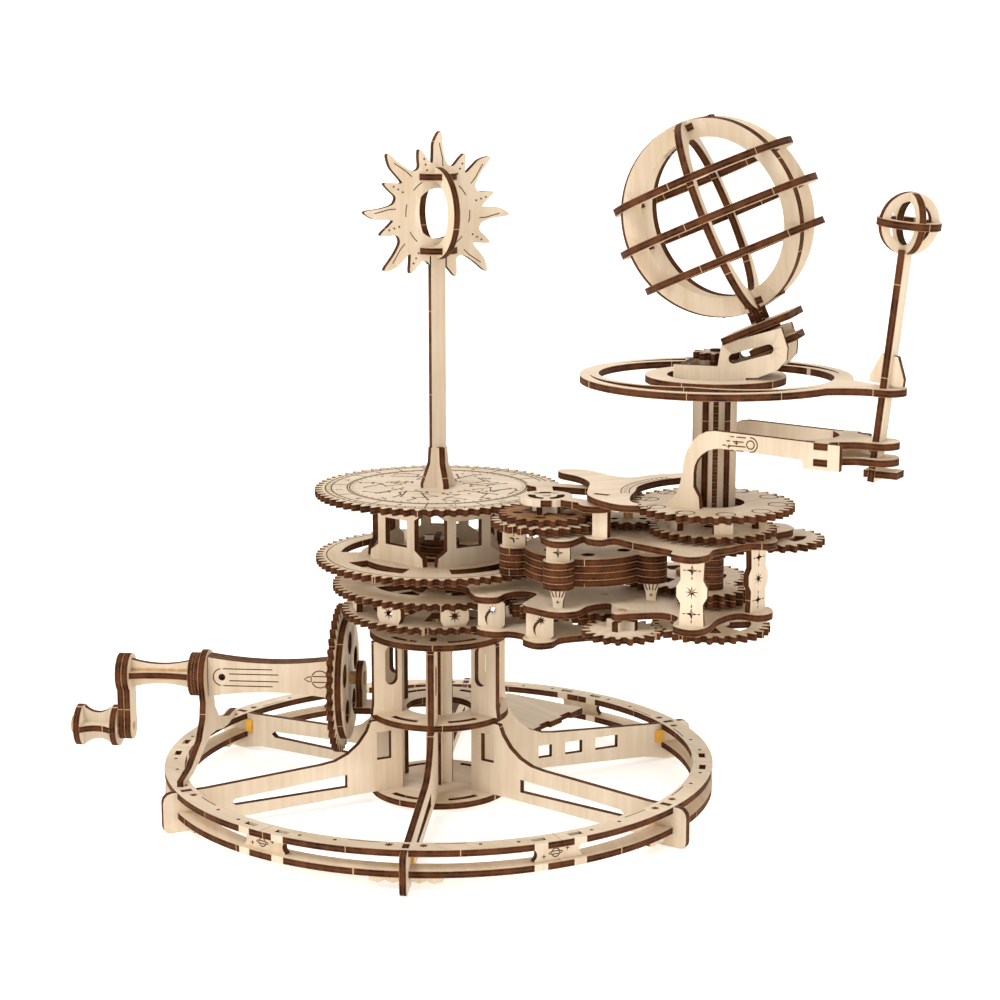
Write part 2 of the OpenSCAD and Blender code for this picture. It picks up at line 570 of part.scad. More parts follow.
// Upright sheet between two levels, seen from the front, with its width along the local X axis
module pillar(p, z0, z1, turn = 0) translate([p[0], p[1], z0]) rotate([0, 0, turn]) upright() children();
module arm_pillars() color("wheat") on_arm() {
    for (q = [oval_1, oval_2]) pillar(q, plate_a_z + ply, plate_b_z, 25) difference() {
        intersection() {
            translate([0, low_gap / 2]) circle(low_gap * 0.62);
            translate([-5.8, 0]) square([11.6, low_gap]);
        }
        translate([0.5, low_gap * 0.66]) star_2d(8, 2.2, 0.9);
    }
    for (q = [post_1, post_2]) pillar(q, plate_b_z + ply, plate_d_z, q == post_1 ? 15 : 75) difference() {
        polygon([[-5, 0], [5, 0], [4.6, 9], [6.3, 12], [6.3, 16], [4.6, 19], [5, mid_gap],
                 [-5, mid_gap], [-4.6, 19], [-6.3, 16], [-6.3, 12], [-4.6, 9]]);
        for (k = [0:2]) translate([0, 5 + 9 * k]) star_2d(k == 1 ? 8 : 4, k == 1 ? 3 : 2.4, 0.8);
    }
    for (q = LUGS) pillar(q, stack_z + 4 * ply, plate_d_z, 20) difference() {
        translate([-5, 0]) square([10, plate_d_z - stack_z - 4 * ply]);
        translate([0, 3.4]) star_2d(4, 2.4, 0.8);
    }
    for (q = [lug_front, lug_right]) pillar(q, plate_b_z + ply, stack_z, 20)
        let (h = stack_z - plate_b_z - ply)
            polygon([[-2, 0], [2, 0], [2.2, 3], [3.6, h], [-3.6, h], [-2.2, 3]]);
    pillar(swan_post, plate_d_z + ply, plate_f_z + ply, 0)
        translate([-3.5, 0]) square([7, plate_f_z - plate_d_z]);
}
module gearbox_stack() color("sienna") on_arm() plate(stack_z, 4 * ply) difference() {
    union() {
        at_2d(stack_at) circle(27);
        lobes_2d([lug_front, stack_at, lug_left, stack_at, lug_right], 6.5, 10.6);
    }
    at_2d(stack_at) for (i = [0:5]) rotate(60 * i) translate([18, 0]) circle(3);
}
// Plain pins of the gears on the arm, fixed in the arm's sheets
module arm_pins() color("sienna") on_arm() {
    pin(feed_at, plate_a_z, plate_b_z + ply);
    pin(feed_idler_at, plate_a_z, plate_b_z + ply);
    pin(spin_idler_at, low_gear_z - slide_gap - 2, plate_b_z + ply);
    pin(season_at, plate_b_z, season_z + ply + slide_gap + 2);
    pin(pinion_at, plate_d_z, plate_e_z + ply);
    pin(moon_idler_at, plate_d_z, plate_e_z + ply);
    pin(back_at, idler_z - slide_gap - 2, plate_d_z + ply);
    for (c = [[spin_idler_at, low_gear_z - slide_gap - 2], [season_at, season_z + ply + slide_gap],
              [back_at, idler_z - slide_gap - 2]])
        translate([c[0][0], c[0][1], c[1]]) difference() {
            cylinder(r = 4, h = 2);
            cylinder(r = pin_r, h = 5);
        }
}
module pin(p, z0, z1) translate([p[0], p[1], z0]) cylinder(r = pin_r, h = z1 - z0);

// ---- gears on the arm ----
module arm_gear(p, z, n, phase, t = ply) on_arm() translate([p[0], p[1], z]) linear_extrude(t) difference() {
    rotate(phase) gear_2d(n);
    circle(pin_r + run_fit);
    children();
}
// Small upright blocks set in a cross around a gear's hub
module hub_cross(p, z, h, half) on_arm() translate([p[0], p[1], z]) linear_extrude(h) difference() {
    cross_2d(half);
    circle(pin_r + run_fit);
}
module zodiac_pinion() color("wheat") {
    arm_gear(pinion_at, pinion_low_z, pinion_low_teeth, pinion_low_phase);
    arm_gear(pinion_at, pinion_high_z, pinion_high_teeth, pinion_high_phase)
        for (i = [0:4]) rotate(72 * i) translate([12, 0]) circle(2.4);
    hub_cross(pinion_at, pinion_high_z + ply, 3.6, 6);
}
module moon_idler() color("wheat") arm_gear(moon_idler_at, pinion_low_z, moon_idler_teeth, moon_idler_phase)
    for (i = [0:2]) rotate(120 * i) translate([7, 0]) circle(1.8);
module feed_gear() color("sienna") arm_gear(feed_at, input_z - ply, feed_teeth, feed_phase, 2 * ply)
    for (i = [0:3]) rotate(90 * i) translate([8, 0]) circle(2.2);
module feed_idler() color("wheat")
    arm_gear(feed_idler_at, input_z - ply, feed_idler_teeth, feed_idler_phase, 2 * ply);
module spin_idler() color("wheat") {
    arm_gear(spin_idler_at, low_gear_z, spin_idler_teeth, spin_idler_phase);
    hub_cross(spin_idler_at, low_gear_z + ply, 4, 6.5);
}
module season_gear() color("wheat") arm_gear(season_at, season_z, season_teeth, season_phase)
    for (i = [0:2]) rotate(120 * i) arc_slot_2d(10, 18, -32, 32);
module back_gear() color("wheat") arm_gear(back_at, idler_z, back_teeth, back_phase)
    for (i = [0:2]) rotate(120 * i) arc_slot_2d(8, 13, -30, 30);

// ---- shafts on the Earth axis ----
module at_earth() on_arm() translate([arm_length, 0, 0]) children();
module spin_shaft() color("wheat") at_earth() {
    translate([0, 0, low_gear_z - 2]) cylinder(r = spin_shaft_r, h = spin_top_z + ply + 1 - low_gear_z + 2);
    plate(low_gear_z) difference() {
        rotate(spin_phase) gear_2d(spin_teeth);
        for (i = [0:3]) rotate(90 * i + 10) arc_slot_2d(8, 17, -30, 30);
    }
    plate(spin_top_z) gear_2d(10);
}
module tilt_column() color("burlywood") at_earth() {
    difference() {
        union() {
            translate([0, 0, season_z]) cylinder(r = tube_r, h = head_z + ply - season_z);
            plate(season_z, 2 * ply) rotate(tilt_phase) gear_2d(tilt_teeth);
            plate(idler_z) rotate(tilt_phase) gear_2d(tilt_teeth);
            translate([0, 0, moon_gear_z - 3]) linear_extrude(head_z - moon_gear_z + 3)
                for (a = [30, 90, 150]) rotate(a) square([2 * fin_r, ply], center = true);
            plate(head_z) circle(head_r);
        }
        translate([0, 0, season_z - 1]) cylinder(r = tube_bore, h = head_z + 10 - season_z);
    }
}
module housing_side_2d() difference() {
    polygon([[-15, 0], [14.5, 0], [15.2, 4.2], [20, 4.4], [28, 8], [31.5, 12], [31.8, 17], [29, 25],
             [4.8, 17.5], [3.4, 8.5], [-12, 8.5], [-15, 8.5]]);
    translate([17, 14]) rotate(17) slot_2d(19, 4);
}
// Cradle of the tilted axis: two side sheets, an end sheet, a foot sheet and the tilted top sheet
module tilt_housing() color("wheat") at_earth() rotate([0, 0, lean_azimuth]) difference() {
    union() {
        translate([0, 0, head_z + ply]) for (s = [-1, 1]) translate([0, s * 10.5, 0])
            upright() housing_side_2d();
        translate([-13, -9, head_z + ply]) cube([ply, 18, 8.5]);
        translate([24, -9, head_z + ply + 8]) cube([ply, 18, 11]);
        seat() translate([0, 0, -1.5]) cube([30, 27, ply], center = true);
        seat() translate([3, 0, -10.5]) cube([20, 19, ply], center = true);
        seat() translate([0, 0, -1.5 - ply]) cylinder(r = 7, h = ply);
    }
    seat() translate([0, 0, -12]) cylinder(r = pin_r + run_fit, h = 14);
}
// Frame of the tilted axis, its origin at the top sheet's upper face
module seat() translate([0, 0, globe_height]) rotate([0, earth_tilt * -1, 0])
    translate([0, 0, -globe_seat]) children();
ring_step = 0.3;                 // difference in size of the rings that cross
globe_band = 7.6;                // width of the globe's upright rings
module globe_ring(r, w) difference() { circle(r); circle(r - w); }
module earth_globe() color("wheat") at_earth() rotate([0, 0, lean_azimuth]) translate([0, 0, globe_height])
    rotate([0, -earth_tilt, 0]) union() {
        for (k = [0:2]) rotate([0, 0, 34.5 + 60 * k]) upright()
            globe_ring(earth_radius - ring_step * k, globe_band);
        for (h = [-0.42, 0, 0.42]) plate(h * earth_radius - ply / 2)
            globe_ring(earth_radius * sqrt(1 - h * h) + 1.5, 6);
        for (z = [earth_radius - 5, -earth_radius + 2]) plate(z) square([26, 8], center = true);
        translate([0, 0, -globe_seat + slide_gap]) cylinder(r = 4, h = globe_seat - earth_radius + 3);
        translate([0, 0, -globe_seat - 7]) cylinder(r = pin_r, h = 8);
    }

// ---- Moon ----
module moon_gear_low() color("wheat") at_earth() plate(pinion_low_z) difference() {
    rotate(moon_low_phase) gear_2d(moon_low_teeth);
    circle(sleeve_bore);
}
module moon_gear_high() color("wheat") at_earth() {
    plate(moon_gear_z) difference() {
        gear_2d(moon_high_teeth);
        circle(13);
    }
    for (i = [0:4]) rotate([0, 0, 72 * i + 20]) translate([18, 0, pinion_low_z + ply])
        rotate([0, 0, 90]) upright() translate([-4, 0]) square([8, moon_gear_z - pinion_low_z - ply]);
}
arch_y = 16;
arch_top = 33;                   // height of the arches above the upper Moon gear
shelf_tab = [51, 6];             // start and length of the shelf tabs that pass through the arches
module moon_arches() color("wheat") at_earth() for (s = [-1, 1])
    translate([0, s * arch_y, moon_gear_z + ply]) upright() difference() {
    polygon(concat(
        [[-14, 0], [2, 0], [1.5, 5], [-1, 9], [-1, 15]],
        [for (a = [180:-15:90]) [11 + 12 * cos(a), 15 + 11 * sin(a)]],
        [[46, 24.5], [47, 21], [62, 21], [62, arch_top - 1.5]],
        [for (a = [90:15:180]) [8 + 14 * cos(a), arch_top - 18 + 18 * sin(a)]],
        [[-7, 10], [-9, 5]]));
    for (z = [shelf_low_z, shelf_high_z]) translate([shelf_tab[0] - 0.02, z - moon_gear_z - ply - 0.02])
        square([shelf_tab[1] + 0.04, ply + 0.04]);
}
shelf_low_z = moon_gear_z + ply + 22.5;
shelf_high_z = moon_gear_z + ply + 29;
shelf_half = arch_y - ply / 2;
module moon_shelf(z) plate(z) difference() {
    intersection() {
        polygon(smooth([[46, -shelf_half - 1], [54, -shelf_half - 1], [60, -11], [66, -7.5], [76, -7],
                        [80, 0], [76, 7], [66, 7.5], [60, 11], [54, shelf_half + 1],
                        [46, shelf_half + 1], [53, 5], [53, -5]]));
        translate([40, -shelf_half]) square([50, 2 * shelf_half]);
    }
}
module moon_shelves() color("wheat") at_earth() difference() {
    for (z = [shelf_low_z, shelf_high_z]) {
        moon_shelf(z);
        for (s = [-1, 1]) plate(z) translate([shelf_tab[0], s * (shelf_half + ply / 2 - 0.01) - ply / 2])
            square([shelf_tab[1], ply + (s > 0 ? 0 : 0.01)]);
    }
    post_sheet(0.02);
}
post_lean = 6;
post_w_moon = 8;                 // width of the Moon post's sheet, across the direction of the Moon
// Leaning sheet that carries the Moon, widened by a play when it cuts a slot
module post_sheet(play = 0) translate([moon_reach, 0, guide_top]) rotate([0, post_lean, 0])
    translate([-ply / 2 - play, -post_w_moon / 2 - play, shelf_low_z - 7 - guide_top])
    cube([ply + 2 * play, post_w_moon + 2 * play, moon_stem + guide_top + 7 - shelf_low_z]);
module moon_post() color("wheat") at_earth() {
    post_sheet();
    translate([moon_reach, 0, guide_top]) rotate([0, post_lean, 0]) difference() {
        upright() polygon([[-7, 1.4], [7, 1.4], [7, 4.5], [3.4, 13], [-3.4, 13], [-7, 4.5]]);
        cube([ply + 0.04, 3 * ply, 40], center = true);
    }
    translate([moon_reach - 7, -4, shelf_low_z - 5]) cube([14, 8, ply]);
}
ring_z = head_z + ply;
guide_top = ring_z + slide_gap + ply;
moon_stem = (globe_height - guide_top) / cos(post_lean) - moon_radius + 2;
module moon_ball() color("wheat") at_earth() translate([moon_reach, 0, guide_top]) rotate([0, post_lean, 0])
    translate([0, 0, moon_stem + moon_radius - 2]) difference() {
        union() {
            rotate([0, 0, 45]) upright() globe_ring(moon_radius, 3.4);
            rotate([0, 0, 135]) upright() globe_ring(moon_radius - ring_step, 3.4);
            plate(-ply / 2) globe_ring(moon_radius + ring_step, 3.4);
        }
        translate([-ply / 2 - 0.02, -post_w_moon / 2 - 0.02, -moon_radius - 5])
            cube([ply + 0.04, post_w_moon + 0.04, 7]);
    }
module moon_ring() color("burlywood") at_earth() difference() {
    plate(ring_z + slide_gap) union() {
        difference() { circle(guide_radius, $fn = 128); circle(guide_radius - 4.2, $fn = 128); }
        difference() { circle(29); circle(20); }
        for (a = [100, 280]) rotate(a) difference() {
            translate([0, 11.6]) circle(41);
            translate([0, 9.4]) circle(39.2);
            translate([-60, -60]) square([120, 60]);
            circle(24);
        }
        polygon(smooth([[40, -34], [52, -16], [66, -7.5], [78, -7], [82, 0], [78, 7], [66, 7.5], [52, 16],
                        [40, 34], [49, 16], [52, 0], [49, -16]]));
    }
    post_sheet(0.02);
}

ring_lower();
ring_upper();
ring_connectors();
leg(1);  // leg_1
leg(2);  // leg_2
leg(3);  // leg_3
leg(4);  // leg_4
leg(5);  // leg_5
leg(6);  // leg_6
leg_keys();
rubber_bands();
column_disc_low();
column_disc_mid();
column_disc_top();
main_axle();
axle_collars();
back_plate();
crank_bracket();
crank_inner_bearing();
crank_gear();
crank_inner_shaft();
crank_outer_shaft();
crank_arm();
crank_pin();
knob();
drive_gear();
input_gear();
turntable_plates();
fixed_gear();
zodiac_disc();
zodiac_pillars();
sun_post();
sun_flames();
sun_ring();
arm_plate_a();
arm_plate_b();
arm_plate_d();
arm_plate_e();
arm_plate_f();
arm_pillars();
gearbox_stack();
arm_pins();
zodiac_pinion();
moon_idler();
moon_gear_low();
moon_gear_high();
moon_arches();
moon_shelves();
moon_post();
moon_ball();
moon_ring();
feed_gear();
feed_idler();
spin_idler();
spin_shaft();
season_gear();
back_gear();
tilt_column();
tilt_housing();
earth_globe();
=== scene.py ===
import json
import math
import random
import bmesh
import bpy
import numpy as np
from mathutils import Matrix, Vector
from mathutils.bvhtree import BVHTree


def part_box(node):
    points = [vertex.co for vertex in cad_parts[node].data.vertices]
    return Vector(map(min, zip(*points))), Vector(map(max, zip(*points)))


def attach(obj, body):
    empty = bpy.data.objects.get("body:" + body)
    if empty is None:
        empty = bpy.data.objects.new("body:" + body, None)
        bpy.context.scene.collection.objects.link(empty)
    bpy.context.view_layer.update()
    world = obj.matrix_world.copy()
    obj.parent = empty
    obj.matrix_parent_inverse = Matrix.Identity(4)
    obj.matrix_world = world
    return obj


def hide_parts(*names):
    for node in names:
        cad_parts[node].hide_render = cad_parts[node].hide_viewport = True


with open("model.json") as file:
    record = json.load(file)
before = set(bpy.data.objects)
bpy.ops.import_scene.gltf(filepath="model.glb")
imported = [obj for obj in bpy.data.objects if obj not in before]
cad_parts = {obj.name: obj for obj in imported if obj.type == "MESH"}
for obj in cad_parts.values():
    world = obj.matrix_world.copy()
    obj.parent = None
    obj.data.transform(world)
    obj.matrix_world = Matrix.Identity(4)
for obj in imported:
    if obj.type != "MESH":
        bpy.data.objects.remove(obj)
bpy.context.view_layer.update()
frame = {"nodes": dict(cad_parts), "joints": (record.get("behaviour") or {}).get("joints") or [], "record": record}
bodyOf = {n: body for body, members in frame["record"]["behaviour"]["bodies"].items() for n in members}
mm = 0.001
print("stage 1: frame loaded,", len(frame["nodes"]), "pieces")


# small helpers that build node trees
def newMaterial(name):
    material = bpy.data.materials.new(name)
    material.use_nodes = True
    tree = material.node_tree
    return material, tree, tree.nodes["Principled BSDF"]


def addNode(tree, kind, inputs=None, **settings):
    node = tree.nodes.new(kind)
    for key, value in settings.items():
        setattr(node, key, value)
    for key, value in (inputs or {}).items():
        if isinstance(value, bpy.types.NodeSocket):
            tree.links.new(value, node.inputs[key])
        else:
            node.inputs[key].default_value = value
    return node


def mathNode(tree, operation, a, b=0.0):
    return addNode(tree, "ShaderNodeMath", {0: a, 1: b}, operation=operation).outputs[0]


def mixColour(tree, factor, a, b, blend="MIX"):
    node = addNode(tree, "ShaderNodeMix", {0: factor, 6: a, 7: b}, data_type="RGBA", blend_type=blend)
    return node.outputs[2]


def rampNode(tree, factor, stops):
    ramp = addNode(tree, "ShaderNodeValToRGB", {0: factor})
    elements = ramp.color_ramp.elements
    for i, (place, colour) in enumerate(stops):
        element = elements[i] if i < 2 else elements.new(place)
        element.position = place
        element.color = colour
    return ramp.outputs[0]


def grey(value):
    return (value, value, value, 1.0)


def noiseNode(tree, vector, scale, detail=2.0, rough=0.5):
    inputs = {"Vector": vector, "Scale": scale, "Detail": detail, "Roughness": rough}
    return addNode(tree, "ShaderNodeTexNoise", inputs).outputs["Fac"]


def stretched(tree, vector, scale):
    return addNode(tree, "ShaderNodeMapping", {"Vector": vector, "Scale": scale}).outputs[0]


# finishes read two attributes of the boards
# board: along the grain, across the grain, and a number of the board's own, in metres
# cut: a place on the cut edge, its last value runs from 0 at one face to 1 at the other
birch = {
    "pale": (0.700, 0.600, 0.475, 1), "warm": (0.590, 0.465, 0.325, 1), "streak": (0.40, 0.275, 0.16, 1),
    "fine": (55, 2600, 1), "broad": (9, 240, 1), "cloud": 42, "roughness": 0.58, "shine": 0.25, "bump": 0.10,
}
bumpDistance = 0.0003


def birchFace(name, s):
    material, tree, shader = newMaterial(name)
    board = addNode(tree, "ShaderNodeAttribute", attribute_name="board").outputs["Vector"]
    fine = noiseNode(tree, stretched(tree, board, s["fine"]), 1.0, 3.0, 0.6)
    broad = noiseNode(tree, stretched(tree, board, s["broad"]), 1.0, 3.0, 0.55)
    cloud = noiseNode(tree, board, s["cloud"], 2.0)
    broadPart = mathNode(tree, "MULTIPLY", broad, 0.6)
    growth = mathNode(tree, "ADD", broadPart, mathNode(tree, "MULTIPLY", cloud, 0.4))
    colour = mixColour(tree, rampNode(tree, growth, [(0.36, grey(0)), (0.70, grey(1))]), s["pale"], s["warm"])
    fibre = rampNode(tree, fine, [(0.56, grey(0)), (0.80, grey(0.42))])
    colour = mixColour(tree, fibre, colour, s["streak"])
    own = addNode(tree, "ShaderNodeSeparateXYZ", {0: board}).outputs[2]
    value = mathNode(tree, "ADD", mathNode(tree, "MULTIPLY", mathNode(tree, "FRACT", own), 0.16), 0.92)
    shade = addNode(tree, "ShaderNodeCombineColor", {0: value, 1: value, 2: value}).outputs[0]
    colour = mixColour(tree, 1.0, colour, shade, "MULTIPLY")
    bump = addNode(tree, "ShaderNodeBump", {"Height": fine, "Strength": s["bump"], "Distance": bumpDistance})
    tree.links.new(colour, shader.inputs["Base Color"])
    tree.links.new(bump.outputs[0], shader.inputs["Normal"])
    shader.inputs["Roughness"].default_value = s["roughness"]
    shader.inputs["Specular IOR Level"].default_value = s["shine"]
    return material


scorch = {
    "brown": (0.098, 0.034, 0.013, 1), "deep": (0.014, 0.004, 0.002, 1), "veneer": (0.32, 0.165, 0.072, 1),
    "core": (0.128, 0.046, 0.018, 1), "nick": (0.60, 0.41, 0.24, 1), "nickStep": 0.037, "nickWidth": 0.0003,
    "blotch": 150.0, "fibre": 1400.0, "roughness": 0.72, "shine": 0.1, "bump": 0.35, "rim": 0.09,
}


def scorchedEdge(name, s):
    material, tree, shader = newMaterial(name)
    cut = addNode(tree, "ShaderNodeAttribute", attribute_name="cut").outputs["Vector"]
    place = addNode(tree, "ShaderNodeTexCoord").outputs["Object"]
    parts = addNode(tree, "ShaderNodeSeparateXYZ", {0: cut}).outputs
    through = mathNode(tree, "FRACT", parts[2])
    blotch = noiseNode(tree, place, s["blotch"], 3.0, 0.6)
    fibre = noiseNode(tree, place, s["fibre"], 2.0, 0.6)
    charred = rampNode(tree, blotch, [(0.34, grey(0)), (0.66, grey(1))])
    colour = mixColour(tree, charred, s["brown"], s["deep"])
    layer = rampNode(tree, through, [(0.30, grey(0)), (0.36, grey(1)), (0.60, grey(1)), (0.68, grey(0))])
    colour = mixColour(tree, mathNode(tree, "MULTIPLY", layer, 0.45), colour, s["core"])
    r = s["rim"]
    stops = [(r * 0.75, grey(1)), (r, grey(0)), (1 - r, grey(0)), (1 - r * 0.75, grey(1))]
    patchy = rampNode(tree, fibre, [(0.3, grey(0.35)), (0.6, grey(1))])
    rim = mathNode(tree, "MULTIPLY", rampNode(tree, through, stops), patchy)
    colour = mixColour(tree, rim, colour, s["veneer"])
    # small bridges that held the piece in its sheet stay pale, on the outermost sheet of a stack
    along = mathNode(tree, "FRACT", mathNode(tree, "DIVIDE", parts[0], s["nickStep"]))
    outerSheet = mathNode(tree, "LESS_THAN", parts[2], 1.0)
    nearBridge = mathNode(tree, "LESS_THAN", along, s["nickWidth"] / s["nickStep"])
    bridge = mathNode(tree, "MULTIPLY", outerSheet, nearBridge)
    colour = mixColour(tree, mathNode(tree, "MULTIPLY", bridge, 0.75), colour, s["nick"])
    bump = addNode(tree, "ShaderNodeBump", {"Height": fibre, "Strength": s["bump"], "Distance": bumpDistance})
    tree.links.new(colour, shader.inputs["Base Color"])
    tree.links.new(bump.outputs[0], shader.inputs["Normal"])
    shader.inputs["Roughness"].default_value = s["roughness"]
    shader.inputs["Specular IOR Level"].default_value = s["shine"]
    return material


def plainFinish(name, s):
    material, tree, shader = newMaterial(name)
    place = addNode(tree, "ShaderNodeTexCoord").outputs["Object"]
    patch = noiseNode(tree, place, s["scale"], 3.0, 0.6)
    colour = mixColour(tree, rampNode(tree, patch, [(0.3, grey(0)), (0.7, grey(1))]), s["light"], s["dark"])
    bump = addNode(tree, "ShaderNodeBump", {"Height": patch, "Strength": s["bump"], "Distance": bumpDistance})
    tree.links.new(colour, shader.inputs["Base Color"])
    tree.links.new(bump.outputs[0], shader.inputs["Normal"])
    shader.inputs["Roughness"].default_value = s["roughness"]
    shader.inputs["Specular IOR Level"].default_value = s["shine"]
    return material


burn = {"light": (0.125, 0.052, 0.022, 1), "dark": (0.045, 0.018, 0.008, 1), "scale": 900.0, "bump": 0.2,
        "roughness": 0.85, "shine": 0.1}
rubber = {"light": (0.78, 0.44, 0.045, 1), "dark": (0.62, 0.31, 0.02, 1), "scale": 260.0, "bump": 0.08,
          "roughness": 0.42, "shine": 0.5}
dowel = {"light": (0.56, 0.36, 0.18, 1), "dark": (0.34, 0.185, 0.080, 1), "scale": 420.0, "bump": 0.15,
         "roughness": 0.6, "shine": 0.3}
faceFinish = birchFace("birchFace", birch)
edgeFinish = scorchedEdge("scorchedEdge", scorch)
burnFinish = plainFinish("burntLine", burn)
rubberFinish = plainFinish("rubberBand", rubber)
dowelFinish = plainFinish("dowelWood", dowel)
print("stage 2: finishes made")


# plywood boards: every sheet piece gets pale faces and burnt edges
# layers: how many sheets lie on each other in a piece, and along which axis
boards = {
    "ply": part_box("zodiac_disc")[1].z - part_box("zodiac_disc")[0].z,
    "layers": {
        "gearbox_stack": [(4, "z")], "feed_gear": [(2, "z")], "feed_idler": [(2, "z")],
        "tilt_column": [(1, ""), (2, "z")], "crank_gear": [(1, "x"), (2, "x")], "crank_arm": [(2, "x")],
        "crank_outer_shaft": [(1, ""), (1.6, "x")], "crank_inner_shaft": [(3, "y")],
    },
    "dowels": ("arm_pins", "crank_pin"),
    "smoothAngle": math.radians(32),
    "weld": 2e-6, "flat": 0.99995, "match": 0.00004,     # what counts as one point, plane or thickness
    "turn": 0.6, "shift": (0.131, 0.077, 0),             # grain direction and pattern place, for each piece
    "levelHeight": 0.0015, "levelTone": 0.37, "pieceTone": 0.61,
}
axes = {"x": Vector((1, 0, 0)), "y": Vector((0, 1, 0)), "z": Vector((0, 0, 1))}


def flatGroups(bm):
    groups = []
    seen = set()
    for seed in bm.faces:
        if seed.index in seen:
            continue
        seen.add(seed.index)
        group = [seed]
        for face in group:
            for edge in face.edges:
                for other in edge.link_faces:
                    if other.index not in seen and other.normal.dot(seed.normal) > boards["flat"]:
                        seen.add(other.index)
                        group.append(other)
        groups.append(group)
    return groups


def boardThickness(group, tree, layers):
    normal = group[0].normal
    allowed = [boards["ply"] * k for k, axis in layers if not axis or abs(normal.dot(axes[axis])) > 0.99]
    found = {}
    total = 0.0
    for face in group:
        area = face.calc_area()
        total += area
        start = face.calc_center_median() - face.normal * 1e-6
        hit, back, _, distance = tree.ray_cast(start, -face.normal)
        if hit is None or back.dot(face.normal) > -0.999:
            continue
        for size in allowed:
            if abs(distance - size) < boards["match"]:
                found[size] = found.get(size, 0.0) + area
    best = max(found, key=found.get, default=None)
    return best if best and found[best] > 0.4 * total else None


def grainAxes(normal, turn):
    if abs(normal.z) > 0.7:
        along = Vector((math.cos(turn), math.sin(turn), 0))
    else:
        along = Vector((0, 0, 1))
    along = (along - normal * along.dot(normal)).normalized()
    return along, normal.cross(along)


def boardPiece(name, index):
    source = frame["nodes"][name]
    bm = bmesh.new()
    bm.from_mesh(source.data)
    bmesh.ops.remove_doubles(bm, verts=bm.verts, dist=boards["weld"])
    bm.faces.ensure_lookup_table()
    bm.normal_update()
    layers = boards["layers"].get(name, [(1, "")])
    tree = BVHTree.FromBMesh(bm)
    sheet = {}
    for group in flatGroups(bm):
        thickness = boardThickness(group, tree, layers)
        if thickness:
            for face in group:
                sheet[face.index] = (group[0].normal.copy(), group[0].verts[0].co.copy(), thickness)
    owner = {}
    front = []
    for face in bm.faces:
        if face.index in sheet:
            continue
        longest = 0.0
        for edge in face.edges:
            for other in edge.link_faces:
                beside = other.index in sheet and abs(other.normal.dot(face.normal)) < 0.1
                if beside and edge.calc_length() > longest:
                    longest = edge.calc_length()
                    owner[face.index] = sheet[other.index]
        if face.index in owner:
            front.append(face)
    for face in front:
        for edge in face.edges:
            for other in edge.link_faces:
                if other.index not in sheet and other.index not in owner:
                    owner[other.index] = owner[face.index]
                    front.append(other)
    piece = bpy.data.objects.new("ply_" + name, bpy.data.meshes.new("ply_" + name))
    bpy.context.scene.collection.objects.link(piece)
    loops = sum(len(f.verts) for f in bm.faces)
    board = np.zeros((loops, 3), np.float32)
    cut = np.zeros((loops, 3), np.float32)
    at = 0
    shift = Vector(boards["shift"]) * index
    plain = (Vector((0, 0, 1)), Vector(), 1)
    for face in bm.faces:
        isSheet = face.index in sheet
        face.material_index = 0 if isSheet else 1
        face.smooth = not isSheet
        normal, origin, _ = sheet.get(face.index) or owner.get(face.index) or plain
        if name in boards["dowels"]:
            face.material_index = 0
        axis = normal if normal.dot(Vector((0.3, 0.2, 1))) > 0 else -normal
        along, across = grainAxes(axis, boards["turn"] * index)
        level = round(origin.dot(axis) / boards["levelHeight"]) * boards["levelTone"]
        level += boards["pieceTone"] * index
        for vertex in face.verts:
            p = vertex.co + shift
            inward = (origin - vertex.co).dot(normal) / boards["ply"]
            board[at] = (p.dot(along), p.dot(across), level)
            cut[at] = (p.dot(along), p.dot(across), 0.001 + 0.998 * inward)
            at += 1
    bm.to_mesh(piece.data)
    bm.free()
    for label, values in (("board", board), ("cut", cut)):
        piece.data.attributes.new(label, "FLOAT_VECTOR", "CORNER").data.foreach_set("vector", values.ravel())
    piece.data.set_sharp_from_angle(angle=boards["smoothAngle"])
    for finish in ([dowelFinish] if name in boards["dowels"] else [faceFinish, edgeFinish]):
        piece.data.materials.append(finish)
    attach(piece, bodyOf[name])
    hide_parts(name)
    return piece


for index, node in enumerate(sorted(frame["nodes"])):
    if node != "rubber_bands":
        boardPiece(node, index)
bands = frame["nodes"]["rubber_bands"]
bands.data.materials.clear()
bands.data.materials.append(rubberFinish)
print("stage 3: plywood boards finished")


# engraving: fine burnt lines, ticks, dots and numbers on the faces, in millimetres
lineWork = {"width": 0.56, "depth": 0.10, "dot": 0.65}
engraved = {}                    # body name: meshes engraved on it


def newTree(name, sockets):
    tree = bpy.data.node_groups.new(name, "GeometryNodeTree")
    tree.interface.new_socket("Geometry", in_out="INPUT", socket_type="NodeSocketGeometry")
    tree.interface.new_socket("Geometry", in_out="OUTPUT", socket_type="NodeSocketGeometry")
    for label, kind in sockets:
        tree.interface.new_socket(label, in_out="INPUT", socket_type="NodeSocket" + kind)
    return tree, tree.nodes.new("NodeGroupInput"), tree.nodes.new("NodeGroupOutput")


def finishTree(tree, inputs, output, geometry):
    real = addNode(tree, "GeometryNodeRealizeInstances", {0: geometry})
    coloured = addNode(tree, "GeometryNodeSetMaterial",
                       {"Geometry": real.outputs[0], "Material": inputs.outputs["Material"]})
    tree.links.new(coloured.outputs[0], output.inputs[0])
    return tree


